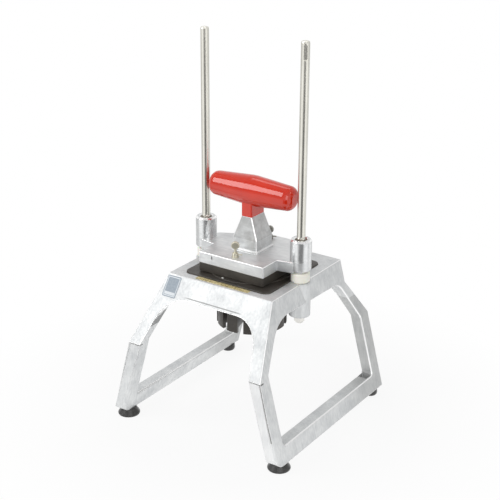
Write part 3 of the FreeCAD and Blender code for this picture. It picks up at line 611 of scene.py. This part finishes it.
WHITE = (1.0, 1.0, 1.0)
ROOM_LIGHT = 0.6
SHINE = 1.25            # brightness of the cards; everything else in the room is a share of it
LOW, SIDES, OVERHEAD = 0.58, 0.8, 0.5
CARDS = [toward(-28.0, -20.0), toward(86.0, -20.0), toward(146.0, -34.0)]
CARD_EDGE, CARD_CORE = 0.88, 0.96       # cosines of the angles at which a card begins and is full
SHADES = [              # middle, cosines at its edge and core, share of the light that it leaves
    (toward(34.0, -22.0), 0.88, 0.96, 0.15),
    (toward(-38.0, 30.0), 0.78, 0.95, 0.55),
    (toward(140.0, 4.0), 0.88, 0.98, 0.7),
]


def studio_world():
    world = bpy.data.worlds.new("studio")
    world.use_nodes = True
    bpy.context.scene.world = world
    net = Network(world.node_tree)
    net.tree.nodes.clear()

    def background(color, strength):
        node = net.new("Background")
        net.put(color, node.inputs["Color"])
        node.inputs["Strength"].default_value = strength
        return node.outputs[0]

    direction = net.new("TexCoord").outputs["Generated"]
    height = net.math("ADD", 0.5, net.dot(direction, (0.0, 0.0, 0.5)))
    mirrored = net.ramp(height, [(0.36, LOW), (0.56, SIDES), (0.71, SIDES), (0.9, OVERHEAD)])
    for middle in CARDS:
        card = net.ramp(net.dot(direction, tuple(middle)), [(CARD_EDGE, 0.0), (CARD_CORE, 1.0)])
        mirrored = net.mix(card, mirrored, WHITE)
    for middle, edge, core, left in SHADES:
        shade = net.ramp(net.dot(direction, tuple(middle)), [(edge, 1.0), (core, left)])
        mirrored = net.mix(1.0, mirrored, shade, "MULTIPLY")

    path = net.new("LightPath").outputs
    reflected = net.either(path["Is Glossy Ray"], path["Is Transmission Ray"])
    lighting = net.mix_shaders(reflected, background(WHITE, ROOM_LIGHT), background(mirrored, SHINE))
    shown = net.mix_shaders(path["Is Camera Ray"], lighting, background(WHITE, 1.0))
    output = net.new("OutputWorld")
    net.put(shown, output.inputs["Surface"])


studio_world()
print("room ready")

# %% [markdown]
# ## The table
#
# A round white table carries the press. Its material mixes plain white paint, which takes the soft
# shadow, with white light that only the camera and reflections see, more and more of it towards the
# rim, so that the table melts into the room without an edge.


# %% Table
TABLE_RADIUS = 0.4
PAINT = (0.7, 0.7, 0.7)
NEAR_WHITE = 0.9        # share of plain white light close to the press
MIRRORED_GAIN = 0.2     # how much brighter the table is in reflections than to the camera


def table_top():
    shape = bmesh.new()
    bmesh.ops.create_circle(shape, cap_ends=True, segments=128, radius=TABLE_RADIUS)
    mesh = bpy.data.meshes.new("table_top")
    shape.to_mesh(mesh)
    shape.free()
    table = bpy.data.objects.new("table_top", mesh)
    bpy.context.scene.collection.objects.link(table)
    return table


def white_paint():
    material = bpy.data.materials.new("white_table")
    material.use_nodes = True
    net = Network(material.node_tree)
    net.tree.nodes.clear()
    paint = net.new("BsdfDiffuse")
    net.put(PAINT, paint.inputs["Color"])
    path = net.new("LightPath").outputs
    white = net.new("Emission")
    gain = net.math("MULTIPLY", path["Is Glossy Ray"], MIRRORED_GAIN)
    net.put(net.math("ADD", 1.0, gain), white.inputs["Strength"])
    place = net.new("TexCoord").outputs["Object"]
    distance = net.math("SQRT", net.dot(place, place))
    fade = net.ramp(net.math("DIVIDE", distance, TABLE_RADIUS), [(0.45, NEAR_WHITE), (0.95, 1.0)])
    seen = net.either(path["Is Camera Ray"], path["Is Glossy Ray"])
    surface = net.mix_shaders(net.both(seen, fade), paint.outputs[0], white.outputs[0])
    output = net.new("OutputMaterial")
    net.put(surface, output.inputs["Surface"])
    return material


table_top().data.materials.append(white_paint())
print(f"table {2 * TABLE_RADIUS:.1f} m across")

# %% [markdown]
# ## Lamps
#
# A broad soft box high at the front left is the main light. It makes the front faces the brightest
# and draws the highlight along the grip. A weaker, larger one on the right keeps the side faces
# readable, and a strip high behind draws a line along the top edges. The power of a lamp grows with
# its area, so `soft_box` takes the brightness and works out the power.


# %% Lamps
def soft_box(name, azimuth, elevation, distance, width, height, glow, roll=0.0):
    """Area lamp at an angle round the press, aimed at its middle; glow is its brightness seen directly."""
    direction = toward(azimuth, elevation)
    lamp = bpy.data.lights.new(name, "AREA")
    lamp.shape = "RECTANGLE"
    lamp.size = width
    lamp.size_y = height
    lamp.energy = glow * math.pi * width * height
    holder = bpy.data.objects.new(name, lamp)
    holder.location = TARGET + direction * distance
    holder.rotation_mode = "QUATERNION"
    aim = direction.to_track_quat("Z", "Y").to_matrix() @ Matrix.Rotation(math.radians(roll), 3, "Z")
    holder.rotation_quaternion = aim.to_quaternion()
    bpy.context.scene.collection.objects.link(holder)
    return holder


soft_box("key", azimuth=-39.0, elevation=36.0, distance=1.6, width=0.85, height=0.9, glow=4.5, roll=25.0)
soft_box("fill", azimuth=48.0, elevation=18.0, distance=2.0, width=1.4, height=1.2, glow=1.8)
soft_box("top_strip", azimuth=190.0, elevation=65.0, distance=1.5, width=1.4, height=0.4, glow=1.5)
print("three lamps ready")
